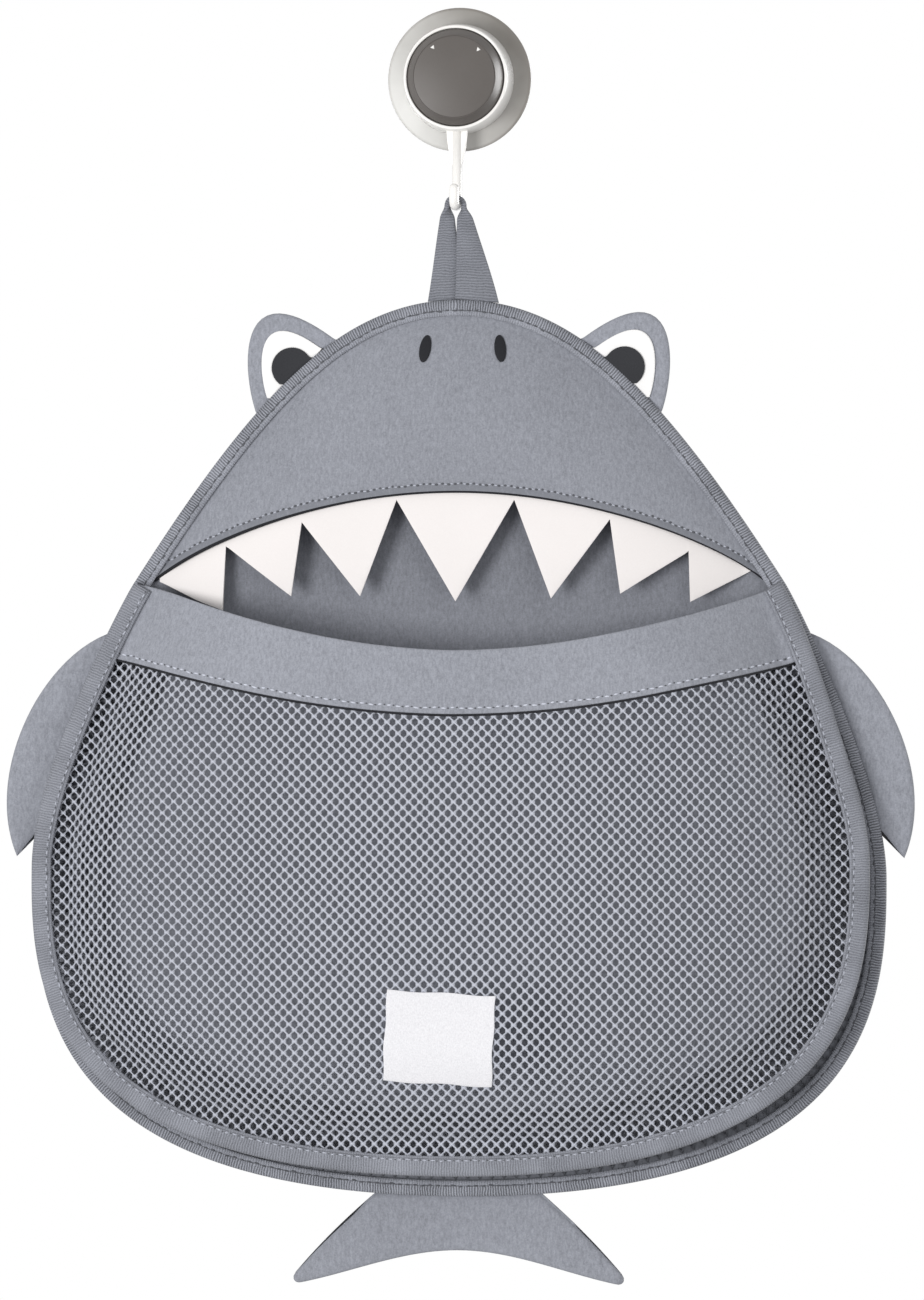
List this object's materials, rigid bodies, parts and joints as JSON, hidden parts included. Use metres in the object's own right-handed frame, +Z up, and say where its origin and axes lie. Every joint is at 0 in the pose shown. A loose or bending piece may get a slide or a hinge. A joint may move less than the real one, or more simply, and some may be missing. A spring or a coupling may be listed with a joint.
{
  "type": "bath toy organizer",
  "caption": "Hanging net pocket shaped as a shark head with felt teeth, hung by a tape loop from a twist-lock suction hook, for wet toys on a bathroom wall",
  "frame": {"origin": "centre of the suction cup's face, on the wall", "axes": "+Z up, +Y into the wall, +X to the right as seen from the front"},
  "size_m": [0.393, 0.0581, 0.5507],
  "materials": {
    "cup_clear": "clear and soft",
    "white_plastic": "smooth",
    "dark_plastic": "smooth",
    "inner_plastic": "moulded",
    "steel": "ground",
    "webbing": "ribbed twill tape",
    "grey_cloth": "brushed padded cloth",
    "back_cloth": "padded cloth",
    "white_felt": "felt",
    "black_thread": "satin stitch",
    "net": "knitted net",
    "white_weave": "woven tag"
  },
  "bodies": {
    "wall_hook": {"suction_cup": "cup_clear", "hook_housing": "white_plastic"},
    "lock_dial": {"twist_dial": "dark_plastic", "dial_cap": "dark_plastic"},
    "lock_stud": {"cup_stud": "inner_plastic", "cross_pin": "steel"},
    "loop": {"hanging_loop": "webbing"},
    "bag": {"back_panel": "back_cloth", "head_panel": "grey_cloth", "edge_binding": "webbing", "teeth_strip": "white_felt", "nostril_left": "black_thread", "nostril_right": "black_thread", "gusset_mesh": "net"},
    "pocket": {"mouth_collar": "grey_cloth", "front_mesh": "net", "front_binding": "webbing", "label": "white_weave"},
    "left_fin_flap": {"left_fin": "grey_cloth"},
    "right_fin_flap": {"right_fin": "grey_cloth"},
    "tail_flap": {"tail_fin": "grey_cloth"},
    "left_eye": {"eye_base_left": "grey_cloth", "eye_white_left": "white_felt", "eye_pupil_left": "black_thread"},
    "right_eye": {"eye_base_right": "grey_cloth", "eye_white_right": "white_felt", "eye_pupil_right": "black_thread"}
  },
  "joints": [
    {"name": "dial_twist", "type": "hinge", "parent": "wall_hook", "child": "lock_dial", "pos_m": [0, -0.018, 0], "axis": [0, -1, 0], "range_deg": [0, 90]},
    {"name": "stud_travel", "type": "slide", "parent": "wall_hook", "child": "lock_stud", "axis": [0, 1, 0], "range_m": [0, 0.003], "deforming": ["suction_cup"]},
    {"name": "side_swing", "type": "hinge", "parent": "wall_hook", "child": "loop", "pos_m": [0, -0.01715, -0.055], "axis": [0, -1, 0], "range_deg": [-20, 20]},
    {"name": "lean_out", "type": "hinge", "parent": "loop", "child": "bag", "pos_m": [0, -0.0057, -0.095], "axis": [-1, 0, 0], "range_deg": [0, 30]},
    {"name": "pocket_spread", "type": "hinge", "parent": "bag", "child": "pocket", "pos_m": [0, -0.01, -0.21678], "axis": [-1, 0, 0], "range_deg": [-4, 8], "stiffness_Nm_per_rad": 1.5, "deforming": ["gusset_mesh"]},
    {"name": "left_fin_bend", "type": "hinge", "parent": "bag", "child": "left_fin_flap", "pos_m": [-0.16999, -0.0071, -0.28072], "axis": [0.3343, 0, 0.9425], "range_deg": [0, 60], "stiffness_Nm_per_rad": 0.02},
    {"name": "right_fin_bend", "type": "hinge", "parent": "bag", "child": "right_fin_flap", "pos_m": [0.16999, -0.0071, -0.28072], "axis": [0.3343, 0, -0.9425], "range_deg": [0, 60], "stiffness_Nm_per_rad": 0.02},
    {"name": "tail_bend", "type": "hinge", "parent": "bag", "child": "tail_flap", "pos_m": [0, -0.0071, -0.4813], "axis": [-1, 0, 0], "range_deg": [0, 60], "stiffness_Nm_per_rad": 0.02},
    {"name": "left_eye_bend", "type": "hinge", "parent": "bag", "child": "left_eye", "pos_m": [-0.07156, -0.00875, -0.12668], "axis": [0.7385, 0, 0.6742], "range_deg": [0, 40], "stiffness_Nm_per_rad": 0.02},
    {"name": "right_eye_bend", "type": "hinge", "parent": "bag", "child": "right_eye", "pos_m": [0.07156, -0.00875, -0.12668], "axis": [0.7385, 0, -0.6742], "range_deg": [0, 40], "stiffness_Nm_per_rad": 0.02}
  ],
  "couplings": [
    {"joint": "stud_travel", "follows": "dial_twist", "m_per_rad": 0.0019098}
  ]
}
